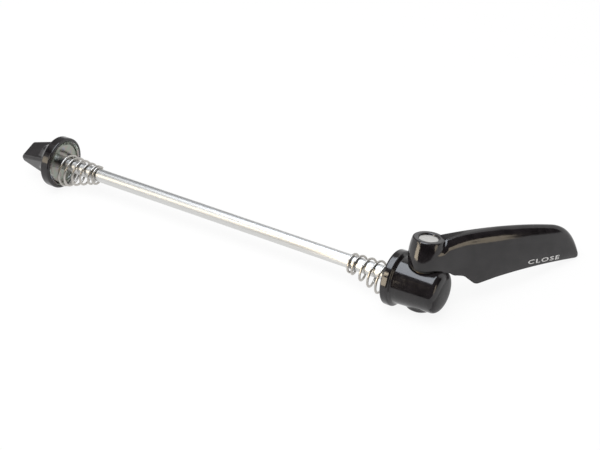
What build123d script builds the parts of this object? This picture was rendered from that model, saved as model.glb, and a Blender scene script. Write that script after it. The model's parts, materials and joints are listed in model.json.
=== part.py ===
"""Quick release skewer of a bicycle wheel: cam lever, housing, rod, springs and nut.

Millimetres. The rod lies along X with the lever at the +X end, and the origin is on the
rod's axis at the serrated face of the housing. Z is up as the skewer lies on a table, on
its two flanges and the lever's tip.
"""
import os
from math import cos, pi, radians, sin

from build123d import *

# Whole skewer
ROD_DIAMETER = 5.0
CLAMP_SPAN = 144.5
FLANGE_RADIUS = 9.9
FLANGE_SET_BACK = 0.25
PIVOT_X = 11.5
LEAN_ANGLE = 18.52
LEVER_ANGLE = 52.0
CLOSED_ANGLE = 90.0

# Fits
RUNNING = 0.03
PRESS = 0.01
END_GAP = 0.1

# Cam and the rod's eye
CAM_THROW = 0.9
LOBE_RADIUS = 2.9
LOBE_LENGTH = 6.0
EYE_SIDE_PLAY = 0.15
EYE_WALL = 1.05
EYE_WIDTH = 5.6
UPPER_JOURNAL_RADIUS = 3.9
STEM_RADIUS = 3.4
STEM_FLAT = 2.9
BUSH_WALL = 0.65
CLIP_THICKNESS = 0.4
CLIP_RADIUS = 3.0
CLIP_MOUTH = 2.2
SEAL_WIDTH = 1.0

# Housing
FLANGE_WIDTH = 3.1
NECK_RADIUS = 8.45
BODY_END_RADIUS = 7.75
HOUSING_END = 20.15
END_ROUND = 2.9
RIM_ROUND = 0.6
SEAT_HEIGHT = 7.0
END_CAP_RADIUS = 3.4
END_CAP_FACE = 8.6
END_CAP_THICKNESS = 0.95

# Lever
HUB_BOTTOM = 7.8
HUB_TOP = 18.2
HUB_BOTTOM_RADIUS = 5.2
HUB_MIDDLE_RADIUS = 6.25
HUB_TOP_RADIUS = 5.1
SHAFT_RECESS = 0.5
RIVET_HEAD = 1.1
BORE_BREAK = 0.3
LEVER_REACH = 60.2
BLADE_ROOT = 2.5
BLADE_CREST = 21.0
BLADE_FRONT = 4.5
BLADE_THICKNESS = 6.4
MIDDLE_THICKNESS = 4.2
TIP_THICKNESS = 3.5
TIP_SWEEP = 5.7
TIP_LOW = 6.2
FIN_REACH = 18.0
FIN_LOW = 1.75
HUB_ROUND = 0.5
FRONT_ROUND = 2.4
BACK_ROUND = 0.9
WEB_ROUND = 5.0
WEB_LENGTH = 13.0
WEB_TOP = 15.2

# Springs
WIRE_DIAMETER = 0.75
SPRING_LENGTH = 16.8
SPRING_SIDE_ROOM = 1.5
SPRING_NARROW_ROOM = 0.87
SPRING_STAND_OFF = 0.2
SPRING_TURNS = 7
POINTS_PER_TURN = 14
CLOSED_PITCH = 0.85
HANG_GAP = 0.15
LEVER_COIL_START = 68
NUT_COIL_START = 32

# Grip faces
GRIP_RADIUS = 8.7
GRIP_BAND = 1.2
GRIP_THICKNESS = 1.8
SPRING_RECESS = 0.9
TEETH = 60
TOOTH_DEPTH = 0.3
TOOTH_GAP = 0.42

# Nut
NUT_LENGTH = 18.3
NUT_FLANGE_WIDTH = 3.9
NUT_BLADE_ANGLE = 78.5
NUT_TIP_WIDTH = 8.5
NUT_TIP_THICKNESS = 2.0
NUT_ROOT_WIDTH = 11.4
NUT_ROOT_THICKNESS = 9.2
NUT_BLADE_ROUND = 0.6
NUT_NECK = 7.4
NUT_NECK_RADIUS = 5.6
INSERT_BOSS_RADIUS = 3.6
INSERT_LENGTH = 7.2
LOCK_RING_LENGTH = 1.6
LOCK_RING_WALL = 0.5
THREAD_REACH = 8.4
BLIND_HOLE = 9.8

# Sizes that follow
ROD_RADIUS = ROD_DIAMETER / 2
WIRE_RADIUS = WIRE_DIAMETER / 2
NUT_X = -CLAMP_SPAN
SWING_LEFT = radians(CLOSED_ANGLE - LEVER_ANGLE)
EYE_SHIFT = CAM_THROW * (1 - 2 * SWING_LEFT / pi)
DRAW_PLAY = CAM_THROW * (cos(SWING_LEFT) - 1 + 2 * SWING_LEFT / pi) + 2 * RUNNING
LOWER_JOURNAL_RADIUS = LOBE_RADIUS - CAM_THROW - END_GAP
EYE_SLOT_LENGTH = 2 * (LOBE_RADIUS + CAM_THROW + EYE_SIDE_PLAY)
EYE_RADIUS = EYE_SLOT_LENGTH / 2 + EYE_WALL
UPPER_BUSH_RADIUS = UPPER_JOURNAL_RADIUS + RUNNING + BUSH_WALL
LOWER_BUSH_RADIUS = LOWER_JOURNAL_RADIUS + RUNNING + BUSH_WALL
CHAMBER_HALF = EYE_WIDTH / 2 + 3 * END_GAP
CHAMBER_WIDTH = 2 * (EYE_RADIUS + 2 * END_GAP)
CHAMBER_END = PIVOT_X + CAM_THROW + EYE_RADIUS + 5 * END_GAP
SHAFT_FOOT = END_CAP_FACE - END_CAP_THICKNESS - END_GAP
CLIP_TOP = SHAFT_FOOT - 2.5 * CLIP_THICKNESS
GROOVE_RADIUS = LOWER_JOURNAL_RADIUS - CLIP_THICKNESS
POCKET_TOP = CLIP_TOP - END_GAP
SHAFT_TOP = HUB_TOP - SHAFT_RECESS
GRIP_INNER = GRIP_RADIUS - GRIP_BAND
SPRING_WIDE_RADIUS = GRIP_INNER - SPRING_SIDE_ROOM
SPRING_NARROW_RADIUS = ROD_RADIUS + SPRING_NARROW_ROOM
HUB_MIDDLE = (HUB_TOP + HUB_BOTTOM) / 2

# The pivot's plane, the lever's plan and side view, and the nut's end view
LEAN_UP = (0, sin(radians(LEAN_ANGLE)), cos(radians(LEAN_ANGLE)))
LEAN = Plane(origin=(PIVOT_X, 0, 0), x_dir=(1, 0, 0), z_dir=LEAN_UP)
PIVOT = Axis(LEAN.origin, LEAN.z_dir)
ALONG = LEAN.x_dir * cos(radians(LEVER_ANGLE)) + LEAN.y_dir * sin(radians(LEVER_ANGLE))
LEVER = Plane(origin=LEAN.origin, x_dir=ALONG, z_dir=LEAN.z_dir)
LEVER_SIDE = Plane(origin=LEAN.origin, x_dir=ALONG, z_dir=-LEVER.y_dir)
LEVER_BACK = Plane(origin=LEAN.origin, x_dir=-ALONG, z_dir=LEAN.z_dir)
REACH = Axis(LEAN.origin, ALONG)
ACROSS = Axis(LEAN.origin, LEVER.y_dir)
THROW = (CAM_THROW * cos(SWING_LEFT), -CAM_THROW * sin(SWING_LEFT))
BLADE_RIGHT = (0, sin(radians(NUT_BLADE_ANGLE)), cos(radians(NUT_BLADE_ANGLE)))
NUT = Plane(origin=(NUT_X, 0, 0), x_dir=BLADE_RIGHT, z_dir=(-1, 0, 0))
NUT_PLAN = Plane(origin=NUT.origin, x_dir=NUT.z_dir, z_dir=NUT.y_dir)
NUT_SIDE = Plane(origin=NUT.origin, x_dir=NUT.z_dir, z_dir=NUT.x_dir)


def cone_coil(face, toward, first_angle):
    """Centre line of a cone spring that hangs on the rod, wide end first, both ends closed."""
    open_turns = SPRING_TURNS - 2
    open_rise = SPRING_LENGTH - WIRE_DIAMETER - 2 * CLOSED_PITCH
    points = []
    for step in range(SPRING_TURNS * POINTS_PER_TURN + 1):
        turn = step / POINTS_PER_TURN
        share = min(max((turn - 1) / open_turns, 0), 1)
        closed = min(turn, 1) + max(turn - open_turns - 1, 0)
        along = SPRING_STAND_OFF + WIRE_RADIUS + share * open_rise + closed * CLOSED_PITCH
        radius = SPRING_WIDE_RADIUS + (SPRING_NARROW_RADIUS - SPRING_WIDE_RADIUS) * share
        sag = radius - WIRE_RADIUS - ROD_RADIUS - HANG_GAP
        angle = radians(first_angle) - toward * 2 * pi * turn
        points.append((face + toward * along, radius * cos(angle), radius * sin(angle) - sag))
    return points


os.makedirs("parts", exist_ok=True)


# Rod, threaded at the nut's end, with an oblong eye for the cam
with BuildPart() as skewer_rod:
    with BuildSketch(Plane.YZ.offset(NUT_X - THREAD_REACH)):
        Circle(ROD_RADIUS)
    extrude(amount=PIVOT_X - NUT_X + THREAD_REACH)
    chamfer(skewer_rod.edges().sort_by(Axis.X)[0], 0.6)
    with BuildSketch(LEAN.offset(-EYE_WIDTH / 2)):
        with Locations((EYE_SHIFT, 0)):
            Circle(EYE_RADIUS)
    extrude(amount=EYE_WIDTH)
    with BuildSketch(LEAN.offset(-EYE_WIDTH / 2)):
        with Locations((EYE_SHIFT, 0)):
            SlotOverall(EYE_SLOT_LENGTH, 2 * (LOBE_RADIUS + DRAW_PLAY), rotation=90)
    extrude(amount=EYE_WIDTH, mode=Mode.SUBTRACT)
skewer_rod.part.label = "skewer_rod"
export_step(skewer_rod.part, "parts/skewer_rod.step")


# Housing: flange, tapered cup with a flat seat, chamber for the eye, bores for the cam
with BuildPart() as cam_housing:
    with BuildSketch(Plane.XY):
        with BuildLine():
            Polyline(
                (HOUSING_END, BODY_END_RADIUS - END_ROUND),
                (HOUSING_END, 0),
                (FLANGE_SET_BACK, 0),
                (FLANGE_SET_BACK, FLANGE_RADIUS),
                (FLANGE_WIDTH, FLANGE_RADIUS),
                (FLANGE_WIDTH + 0.6, NECK_RADIUS),
                (HOUSING_END - END_ROUND, BODY_END_RADIUS),
            )
            RadiusArc(
                (HOUSING_END - END_ROUND, BODY_END_RADIUS),
                (HOUSING_END, BODY_END_RADIUS - END_ROUND),
                END_ROUND,
            )
        make_face()
    revolve(axis=Axis.X)
    rim = cam_housing.edges().filter_by(GeomType.CIRCLE).sort_by(SortBy.RADIUS)[-2:]
    fillet(rim, RIM_ROUND)
    with BuildSketch(LEAN.offset(SEAT_HEIGHT)):
        with Locations(((HOUSING_END + FLANGE_WIDTH) / 2 + 0.6 - PIVOT_X, 0)):
            Rectangle(HOUSING_END - FLANGE_WIDTH, 2 * NECK_RADIUS)
    extrude(amount=NECK_RADIUS, mode=Mode.SUBTRACT)
    with BuildSketch(Plane.YZ.offset(FLANGE_SET_BACK)):
        Circle(GRIP_RADIUS + PRESS)
    extrude(amount=GRIP_THICKNESS - FLANGE_SET_BACK, mode=Mode.SUBTRACT)
    with BuildSketch(Plane(origin=(GRIP_THICKNESS, 0, 0), x_dir=LEAN.y_dir, z_dir=(1, 0, 0))):
        RectangleRounded(CHAMBER_WIDTH, 2 * CHAMBER_HALF, 0.6)
    extrude(amount=CHAMBER_END - GRIP_THICKNESS, mode=Mode.SUBTRACT)
    with BuildSketch(LEAN):
        Circle(UPPER_BUSH_RADIUS + PRESS)
    extrude(amount=SEAT_HEIGHT, mode=Mode.SUBTRACT)
    with BuildSketch(LEAN):
        Circle(LOWER_BUSH_RADIUS + PRESS)
    extrude(amount=-POCKET_TOP, mode=Mode.SUBTRACT)
    with BuildSketch(LEAN.offset(-POCKET_TOP)):
        Circle(END_CAP_RADIUS + PRESS)
    extrude(amount=-NECK_RADIUS, mode=Mode.SUBTRACT)
cam_housing.part.label = "cam_housing"
export_step(cam_housing.part, "parts/cam_housing.step")


# Serrated steel ring pressed into the housing, dished for the spring
with BuildPart() as housing_grip_ring:
    with BuildSketch(Plane.YZ):
        Circle(GRIP_RADIUS)
    extrude(amount=GRIP_THICKNESS)
    with BuildSketch(Plane.YZ):
        Circle(GRIP_INNER)
    extrude(amount=SPRING_RECESS, mode=Mode.SUBTRACT)
    with BuildSketch(Plane.YZ):
        Circle(ROD_RADIUS + RUNNING)
    extrude(amount=GRIP_THICKNESS, mode=Mode.SUBTRACT)
    with BuildSketch(Plane.YZ):
        with PolarLocations(GRIP_INNER + GRIP_BAND / 2, TEETH):
            Rectangle(2 * GRIP_BAND, TOOTH_GAP)
    extrude(amount=TOOTH_DEPTH, mode=Mode.SUBTRACT)
housing_grip_ring.part.label = "housing_grip_ring"
export_step(housing_grip_ring.part, "parts/housing_grip_ring.step")


# Lever: blade cut from its plan and side outlines, barrel hub, webs in the corners
with BuildPart() as lever:
    with BuildSketch(LEVER):
        with BuildLine():
            front = ThreePointArc(
                (BLADE_ROOT, -BLADE_FRONT),
                (LEVER_REACH / 2, 0.1 * TIP_SWEEP - BLADE_FRONT),
                (LEVER_REACH, TIP_SWEEP - BLADE_FRONT),
            )
            back = ThreePointArc(
                (LEVER_REACH, TIP_SWEEP + TIP_THICKNESS - BLADE_FRONT),
                (LEVER_REACH / 2, 0.1 * TIP_SWEEP + MIDDLE_THICKNESS - BLADE_FRONT),
                (BLADE_ROOT, BLADE_THICKNESS - BLADE_FRONT),
            )
            Line(front @ 1, back @ 0)
            Line(back @ 1, front @ 0)
        make_face()
    extrude(amount=BLADE_CREST + FRONT_ROUND)
    with BuildSketch(LEVER_SIDE):
        with BuildLine():
            crest = ThreePointArc(
                (BLADE_ROOT, HUB_TOP - 2 * HUB_ROUND),
                (0.46 * LEVER_REACH, BLADE_CREST),
                (0.78 * LEVER_REACH, BLADE_CREST - 1.5),
            )
            tip = TangentArc(crest @ 1, (LEVER_REACH, TIP_LOW), tangent=crest % 1)
            low = ThreePointArc(tip @ 1, (2 * FIN_REACH, 5.3), (FIN_REACH, FIN_LOW))
            Polyline(
                low @ 1,
                (0.75 * FIN_REACH, FIN_LOW + 3.8),
                (HUB_BOTTOM + 1.8, HUB_BOTTOM - 1.3),
                (HUB_BOTTOM + 1.0, HUB_BOTTOM + 1.4 * HUB_ROUND),
                (BLADE_ROOT, HUB_BOTTOM + 1.4 * HUB_ROUND),
                crest @ 0,
            )
        make_face()
    extrude(amount=LEVER_REACH / 2, both=True, mode=Mode.INTERSECT)
    face = lever.faces().sort_by(ACROSS)[0]
    fillet(face.edges().filter_by(GeomType.BSPLINE).sort_by(PIVOT)[-2:], FRONT_ROUND)
    fin = lever.edges().filter_by(ACROSS).sort_by(PIVOT)[0]
    fillet(fin, 2.2)
    bend = lever.edges().filter_by(ACROSS).sort_by(PIVOT)[2]
    fillet(bend, 3.0)
    face = lever.faces().sort_by(SortBy.AREA)[-1]
    fillet(face.edges().filter_by_position(REACH, WEB_LENGTH / 2, LEVER_REACH), BACK_ROUND)
    with BuildSketch(LEVER_SIDE):
        with BuildLine():
            Polyline(
                (-HUB_TOP_RADIUS, HUB_TOP),
                (0, HUB_TOP),
                (0, HUB_BOTTOM),
                (-HUB_BOTTOM_RADIUS, HUB_BOTTOM),
            )
            ThreePointArc(
                (-HUB_BOTTOM_RADIUS, HUB_BOTTOM),
                (-HUB_MIDDLE_RADIUS, HUB_MIDDLE),
                (-HUB_TOP_RADIUS, HUB_TOP),
            )
        make_face()
    revolve(axis=PIVOT)
    hub_ends = lever.edges().filter_by(GeomType.CIRCLE).filter_by(LEVER)
    fillet(hub_ends.sort_by(SortBy.LENGTH)[-2:], HUB_ROUND)
    with BuildSketch(LEVER_BACK.offset(HUB_BOTTOM + 1.4 * HUB_ROUND)) as web:
        Circle(HUB_BOTTOM_RADIUS)
        with Locations((-WEB_LENGTH / 2, BLADE_FRONT - BLADE_THICKNESS / 2 + 0.25)):
            Rectangle(WEB_LENGTH, BLADE_THICKNESS - 0.8)
        fillet(web.vertices().sort_by(Axis.X)[2], WEB_ROUND)
    extrude(amount=WEB_TOP - HUB_BOTTOM - 1.4 * HUB_ROUND)
    with BuildSketch(LEVER.offset(HUB_BOTTOM)):
        Circle(STEM_RADIUS + PRESS)
        Rectangle(3 * STEM_RADIUS, 2 * (STEM_FLAT + PRESS), mode=Mode.INTERSECT)
    extrude(amount=HUB_TOP - HUB_BOTTOM, mode=Mode.SUBTRACT)
    with BuildSketch(LEVER.offset(SHAFT_TOP - RIVET_HEAD)):
        Circle(STEM_RADIUS + PRESS)
    extrude(amount=RIVET_HEAD + SHAFT_RECESS, mode=Mode.SUBTRACT)
    mouth = lever.edges().filter_by(GeomType.CIRCLE).sort_by(PIVOT)[-1]
    chamfer(mouth, BORE_BREAK)
lever.part.label = "lever"
export_step(lever.part, "parts/lever.step")


# Cam shaft: foot with a clip groove, eccentric lobe, journal, flatted stem, rivet head
with BuildPart() as cam_shaft:
    with BuildSketch(LEVER.offset(-SHAFT_FOOT)):
        Circle(LOWER_JOURNAL_RADIUS)
    extrude(amount=SHAFT_FOOT)
    with BuildSketch(LEVER.offset(-CLIP_TOP - CLIP_THICKNESS - PRESS)):
        Circle(2 * LOWER_JOURNAL_RADIUS)
        Circle(GROOVE_RADIUS, mode=Mode.SUBTRACT)
    extrude(amount=CLIP_THICKNESS + 2 * PRESS, mode=Mode.SUBTRACT)
    with BuildSketch(LEAN.offset(-LOBE_LENGTH / 2)):
        with Locations(THROW):
            Circle(LOBE_RADIUS)
    extrude(amount=LOBE_LENGTH)
    with BuildSketch(LEVER.offset(LOBE_LENGTH / 2)):
        Circle(UPPER_JOURNAL_RADIUS)
    extrude(amount=HUB_BOTTOM - PRESS - LOBE_LENGTH / 2)
    with BuildSketch(LEVER.offset(HUB_BOTTOM - END_GAP)):
        Circle(STEM_RADIUS)
        Rectangle(2 * STEM_RADIUS, 2 * STEM_FLAT, mode=Mode.INTERSECT)
    extrude(amount=SHAFT_TOP - HUB_BOTTOM)
    with BuildSketch(LEVER.offset(SHAFT_TOP - RIVET_HEAD)):
        Circle(STEM_RADIUS)
    extrude(amount=RIVET_HEAD)
    chamfer(cam_shaft.faces().sort_by(PIVOT)[-1].edges(), 0.15)
cam_shaft.part.label = "cam_shaft"
export_step(cam_shaft.part, "parts/cam_shaft.step")


# Bearing bushes of the cam shaft
with BuildPart() as upper_cam_bush:
    with BuildSketch(LEAN.offset(CHAMBER_HALF)):
        Circle(UPPER_BUSH_RADIUS)
        Circle(UPPER_JOURNAL_RADIUS + RUNNING, mode=Mode.SUBTRACT)
    extrude(amount=SEAT_HEIGHT - CHAMBER_HALF)
upper_cam_bush.part.label = "upper_cam_bush"
export_step(upper_cam_bush.part, "parts/upper_cam_bush.step")

with BuildPart() as lower_cam_bush:
    with BuildSketch(LEAN.offset(-POCKET_TOP)):
        Circle(LOWER_BUSH_RADIUS)
        Circle(LOWER_JOURNAL_RADIUS + RUNNING, mode=Mode.SUBTRACT)
    extrude(amount=POCKET_TOP - CHAMBER_HALF)
lower_cam_bush.part.label = "lower_cam_bush"
export_step(lower_cam_bush.part, "parts/lower_cam_bush.step")


# Sealing washer between the seat and the lever's hub
with BuildPart() as cam_seal:
    with BuildSketch(LEAN.offset(SEAT_HEIGHT)):
        Circle(UPPER_JOURNAL_RADIUS + 2 * RUNNING + SEAL_WIDTH)
        Circle(UPPER_JOURNAL_RADIUS + 2 * RUNNING, mode=Mode.SUBTRACT)
    extrude(amount=HUB_BOTTOM - SEAT_HEIGHT - END_GAP)
cam_seal.part.label = "cam_seal"
export_step(cam_seal.part, "parts/cam_seal.step")


# Open clip in the shaft's groove
with BuildPart() as cam_retaining_clip:
    with BuildSketch(LEVER.offset(-CLIP_TOP - CLIP_THICKNESS)):
        Circle(CLIP_RADIUS)
        Circle(GROOVE_RADIUS + PRESS, mode=Mode.SUBTRACT)
        with Locations((CLIP_RADIUS, 0)):
            Rectangle(2 * CLIP_RADIUS, CLIP_MOUTH, mode=Mode.SUBTRACT)
    extrude(amount=CLIP_THICKNESS)
cam_retaining_clip.part.label = "cam_retaining_clip"
export_step(cam_retaining_clip.part, "parts/cam_retaining_clip.step")


# Cap pressed into the lower bore
with BuildPart() as cam_end_cap:
    with BuildSketch(LEAN.offset(-END_CAP_FACE)):
        Circle(END_CAP_RADIUS)
    extrude(amount=END_CAP_THICKNESS)
    chamfer(cam_end_cap.edges().filter_by(GeomType.CIRCLE).sort_by(PIVOT)[0], 0.25)
cam_end_cap.part.label = "cam_end_cap"
export_step(cam_end_cap.part, "parts/cam_end_cap.step")


# Cone springs, loose on the rod, wide ends towards the grip faces
with BuildPart() as lever_side_spring:
    with BuildLine() as lever_side_coil:
        Polyline(*cone_coil(0, -1, LEVER_COIL_START))
    with BuildSketch(Plane(origin=lever_side_coil.line @ 0, z_dir=lever_side_coil.line % 0)):
        RegularPolygon(WIRE_RADIUS, 8)
    sweep(path=lever_side_coil.line, transition=Transition.RIGHT)
lever_side_spring.part.label = "lever_side_spring"
export_step(lever_side_spring.part, "parts/lever_side_spring.step")

with BuildPart() as nut_side_spring:
    with BuildLine() as nut_side_coil:
        Polyline(*cone_coil(NUT_X, 1, NUT_COIL_START))
    with BuildSketch(Plane(origin=nut_side_coil.line @ 0, z_dir=nut_side_coil.line % 0)):
        RegularPolygon(WIRE_RADIUS, 8)
    sweep(path=nut_side_coil.line, transition=Transition.RIGHT)
nut_side_spring.part.label = "nut_side_spring"
export_step(nut_side_spring.part, "parts/nut_side_spring.step")


# Nut: finger blade drawn out of a flanged bell, bored blind for the insert
with BuildPart() as nut_body:
    with BuildSketch(NUT_PLAN):
        with BuildLine():
            Polyline(
                (NUT_FLANGE_WIDTH, -NUT_ROOT_WIDTH / 2),
                (NUT_LENGTH, -NUT_TIP_WIDTH / 2),
                (NUT_LENGTH, NUT_TIP_WIDTH / 2),
                (NUT_FLANGE_WIDTH, NUT_ROOT_WIDTH / 2),
                close=True,
            )
        make_face()
    extrude(amount=NUT_ROOT_THICKNESS / 2, both=True)
    with BuildSketch(NUT_SIDE):
        with BuildLine():
            Polyline(
                (NUT_FLANGE_WIDTH, -NUT_ROOT_THICKNESS / 2),
                (NUT_LENGTH, -NUT_TIP_THICKNESS / 2),
                (NUT_LENGTH, NUT_TIP_THICKNESS / 2),
                (NUT_FLANGE_WIDTH, NUT_ROOT_THICKNESS / 2),
                close=True,
            )
        make_face()
    extrude(amount=NUT_ROOT_WIDTH / 2, both=True, mode=Mode.INTERSECT)
    root = nut_body.faces().sort_by(Axis.X)[-1]
    fillet(nut_body.edges() - root.edges(), NUT_BLADE_ROUND)
    with BuildSketch(Plane.XY):
        with BuildLine():
            bell = ThreePointArc(
                (NUT_X - NUT_FLANGE_WIDTH, FLANGE_RADIUS),
                (NUT_X - NUT_FLANGE_WIDTH - 1.0, NUT_NECK_RADIUS + 1.4),
                (NUT_X - NUT_NECK, NUT_NECK_RADIUS),
            )
            Polyline(
                bell @ 1,
                (NUT_X - NUT_NECK, 0),
                (NUT_X - FLANGE_SET_BACK, 0),
                (NUT_X - FLANGE_SET_BACK, FLANGE_RADIUS),
                bell @ 0,
            )
        make_face()
    revolve(axis=Axis.X)
    rim = nut_body.edges().filter_by(GeomType.CIRCLE).sort_by(SortBy.RADIUS)[-2:]
    fillet(rim, RIM_ROUND)
    with BuildSketch(NUT.offset(FLANGE_SET_BACK)):
        Circle(GRIP_RADIUS + PRESS)
    extrude(amount=GRIP_THICKNESS - FLANGE_SET_BACK, mode=Mode.SUBTRACT)
    with BuildSketch(NUT):
        Circle(INSERT_BOSS_RADIUS + PRESS)
    extrude(amount=INSERT_LENGTH + END_GAP, mode=Mode.SUBTRACT)
    with BuildSketch(NUT):
        Circle(ROD_RADIUS + 3 * END_GAP)
    extrude(amount=BLIND_HOLE, mode=Mode.SUBTRACT)
nut_body.part.label = "nut_body"
export_step(nut_body.part, "parts/nut_body.step")


# Serrated steel insert of the nut with its threaded boss
with BuildPart() as nut_grip_insert:
    with BuildSketch(NUT):
        Circle(GRIP_RADIUS)
    extrude(amount=GRIP_THICKNESS)
    with BuildSketch(NUT):
        Circle(INSERT_BOSS_RADIUS)
    extrude(amount=INSERT_LENGTH)
    with BuildSketch(NUT):
        Circle(GRIP_INNER)
    extrude(amount=SPRING_RECESS, mode=Mode.SUBTRACT)
    with BuildSketch(NUT):
        Circle(ROD_RADIUS + RUNNING)
    extrude(amount=INSERT_LENGTH, mode=Mode.SUBTRACT)
    with BuildSketch(NUT.offset(INSERT_LENGTH - LOCK_RING_LENGTH)):
        Circle(ROD_RADIUS + RUNNING + LOCK_RING_WALL + PRESS)
    extrude(amount=LOCK_RING_LENGTH, mode=Mode.SUBTRACT)
    with BuildSketch(NUT):
        with PolarLocations(GRIP_INNER + GRIP_BAND / 2, TEETH):
            Rectangle(2 * GRIP_BAND, TOOTH_GAP)
    extrude(amount=TOOTH_DEPTH, mode=Mode.SUBTRACT)
nut_grip_insert.part.label = "nut_grip_insert"
export_step(nut_grip_insert.part, "parts/nut_grip_insert.step")


# Nylon ring that holds the nut where it is set
with BuildPart() as nut_lock_ring:
    with BuildSketch(NUT.offset(INSERT_LENGTH - LOCK_RING_LENGTH)):
        Circle(ROD_RADIUS + RUNNING + LOCK_RING_WALL)
        Circle(ROD_RADIUS + RUNNING, mode=Mode.SUBTRACT)
    extrude(amount=LOCK_RING_LENGTH)
nut_lock_ring.part.label = "nut_lock_ring"
export_step(nut_lock_ring.part, "parts/nut_lock_ring.step")
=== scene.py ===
"""Quick release skewer of a bicycle wheel, dressed over its solids.

Every shape is drawn in millimetres in the axes of the piece that carries it, and is then
laid into the frame, which is in metres.
"""

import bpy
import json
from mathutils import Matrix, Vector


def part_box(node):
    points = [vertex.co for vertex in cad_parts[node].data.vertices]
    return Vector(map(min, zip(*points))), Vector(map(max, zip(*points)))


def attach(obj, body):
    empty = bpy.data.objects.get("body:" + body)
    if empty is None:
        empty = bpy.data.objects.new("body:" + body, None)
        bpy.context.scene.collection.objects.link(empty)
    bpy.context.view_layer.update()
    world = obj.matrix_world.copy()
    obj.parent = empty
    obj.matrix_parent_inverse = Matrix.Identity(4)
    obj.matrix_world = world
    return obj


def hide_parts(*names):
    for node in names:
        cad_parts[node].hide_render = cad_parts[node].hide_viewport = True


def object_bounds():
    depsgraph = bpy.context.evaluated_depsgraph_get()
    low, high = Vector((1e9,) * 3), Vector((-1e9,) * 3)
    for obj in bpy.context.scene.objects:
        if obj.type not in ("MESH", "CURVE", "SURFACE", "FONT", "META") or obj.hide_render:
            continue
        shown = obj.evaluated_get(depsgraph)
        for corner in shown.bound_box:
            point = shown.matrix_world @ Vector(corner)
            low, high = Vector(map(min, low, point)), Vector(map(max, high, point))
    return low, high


bl_info = {
    "name": "Quick Release Skewer",
    "version": (1, 0, 0),
    "blender": (4, 5, 0),
    "location": "View3D > Sidebar > Skewer",
    "description": "Dresses the solids of a bicycle skewer with finished metal pieces",
    "category": "Object",
}

import json
from bisect import bisect_right
from math import acos, atan2, cos, hypot, pi, radians, sin, sqrt, tan

import bpy
from bpy.props import FloatProperty, FloatVectorProperty, IntProperty, PointerProperty
from mathutils import Matrix, Vector

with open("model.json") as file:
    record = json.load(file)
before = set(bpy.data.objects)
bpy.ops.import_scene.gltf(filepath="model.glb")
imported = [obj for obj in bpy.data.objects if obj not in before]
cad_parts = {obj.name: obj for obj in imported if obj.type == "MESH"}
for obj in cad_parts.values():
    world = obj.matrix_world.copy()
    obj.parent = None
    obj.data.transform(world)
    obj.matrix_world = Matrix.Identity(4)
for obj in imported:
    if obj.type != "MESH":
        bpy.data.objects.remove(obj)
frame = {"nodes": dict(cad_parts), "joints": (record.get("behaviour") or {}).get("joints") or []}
CAD_BOX = [list(corner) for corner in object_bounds()]

MM = 0.001
SWING = next(joint for joint in frame["joints"] if joint["name"] == "lever_swing")
CLOSED_ANGLE = radians(90.0)
LEVER_ANGLE = CLOSED_ANGLE - radians(SWING["range_deg"][1])
NUT_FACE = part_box("nut_grip_insert")[1].x
TABLE = CAD_BOX[0][2]


def own_axes(origin, along, up):
    """Matrix from millimetres in a piece's own axes to the frame."""
    along = Vector(along).normalized()
    up = Vector(up).normalized()
    turn = Matrix((along, up.cross(along), up)).transposed().to_4x4()
    return Matrix.Translation(Vector(origin)) @ turn @ Matrix.Scale(MM, 4)


def lever_axes():
    """The lever's axes: x to its tip, y to its back, z up the pivot."""
    up = Vector(SWING["axis"]).normalized()
    side = up.cross(Vector((1, 0, 0))).normalized()
    rod = side.cross(up)
    return own_axes(SWING["pos_m"], rod * cos(LEVER_ANGLE) + side * sin(LEVER_ANGLE), up)


def housing_axes():
    """The housing's axes at its face: x along the rod, z up the pivot."""
    return own_axes((0, 0, 0), (1, 0, 0), SWING["axis"])


def nut_axes(angle):
    """The nut's axes at its face: x away from the wheel, y across the blade's thickness."""
    return own_axes((NUT_FACE, 0, 0), (-1, 0, 0), (0, sin(angle), cos(angle)))


# Sizes and colours


def length(name, description, millimetres):
    """A length that a user may change."""
    return FloatProperty(
        name=name, description=description, default=millimetres * MM, unit="LENGTH", precision=5
    )


def tone(name, description, colour):
    """A colour that a user may change."""
    return FloatVectorProperty(
        name=name, description=description, default=colour, subtype="COLOR", min=0.0, max=1.0
    )


class SkewerLeverSizes(bpy.types.PropertyGroup):
    """Sizes of the cam lever"""

    reach: length("Reach", "From the pivot to the tip", 60.2)
    crest: length("Crest", "Highest point of the blade over the rod's axis", 21.0)
    front: length("Front", "From the pivot to the blade's front face at the hub", 4.5)
    root: length("Root thickness", "Thickness of the blade at the hub", 6.4)
    middle: length("Middle thickness", "Thickness of the blade half way along", 4.2)
    tip: length("Tip thickness", "Thickness of the blade at its tip", 3.5)
    sweep: length("Sweep", "How far the tip sweeps back", 5.7)
    crown: length("Crown", "How far the front face bulges", 0.3)
    hub_bottom: length("Hub bottom", "Lower end of the hub over the rod's axis", 7.8)
    hub_top: length("Hub top", "Upper end of the hub over the rod's axis", 18.2)
    hub_middle: length("Hub radius", "Radius of the hub at its fullest", 6.3)
    letter: length("Letter height", "Height of the word on the blade", 1.62)


class SkewerHousingSizes(bpy.types.PropertyGroup):
    """Sizes of the cam housing"""

    flange: length("Flange radius", "Radius of the housing's flange", 9.9)
    flange_width: length("Flange width", "From the wheel's side to the flange's back", 3.1)
    neck: length("Neck radius", "Radius of the cup behind the flange", 8.55)
    end: length("End", "From the grip face to the cup's end", 20.15)
    end_radius: length("End radius", "Radius of the cup at its end", 7.75)
    end_round: length("End rounding", "Rounding of the cup's end", 2.9)
    seat: length("Seat height", "Flat seat over the rod's axis", 7.6)


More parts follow.
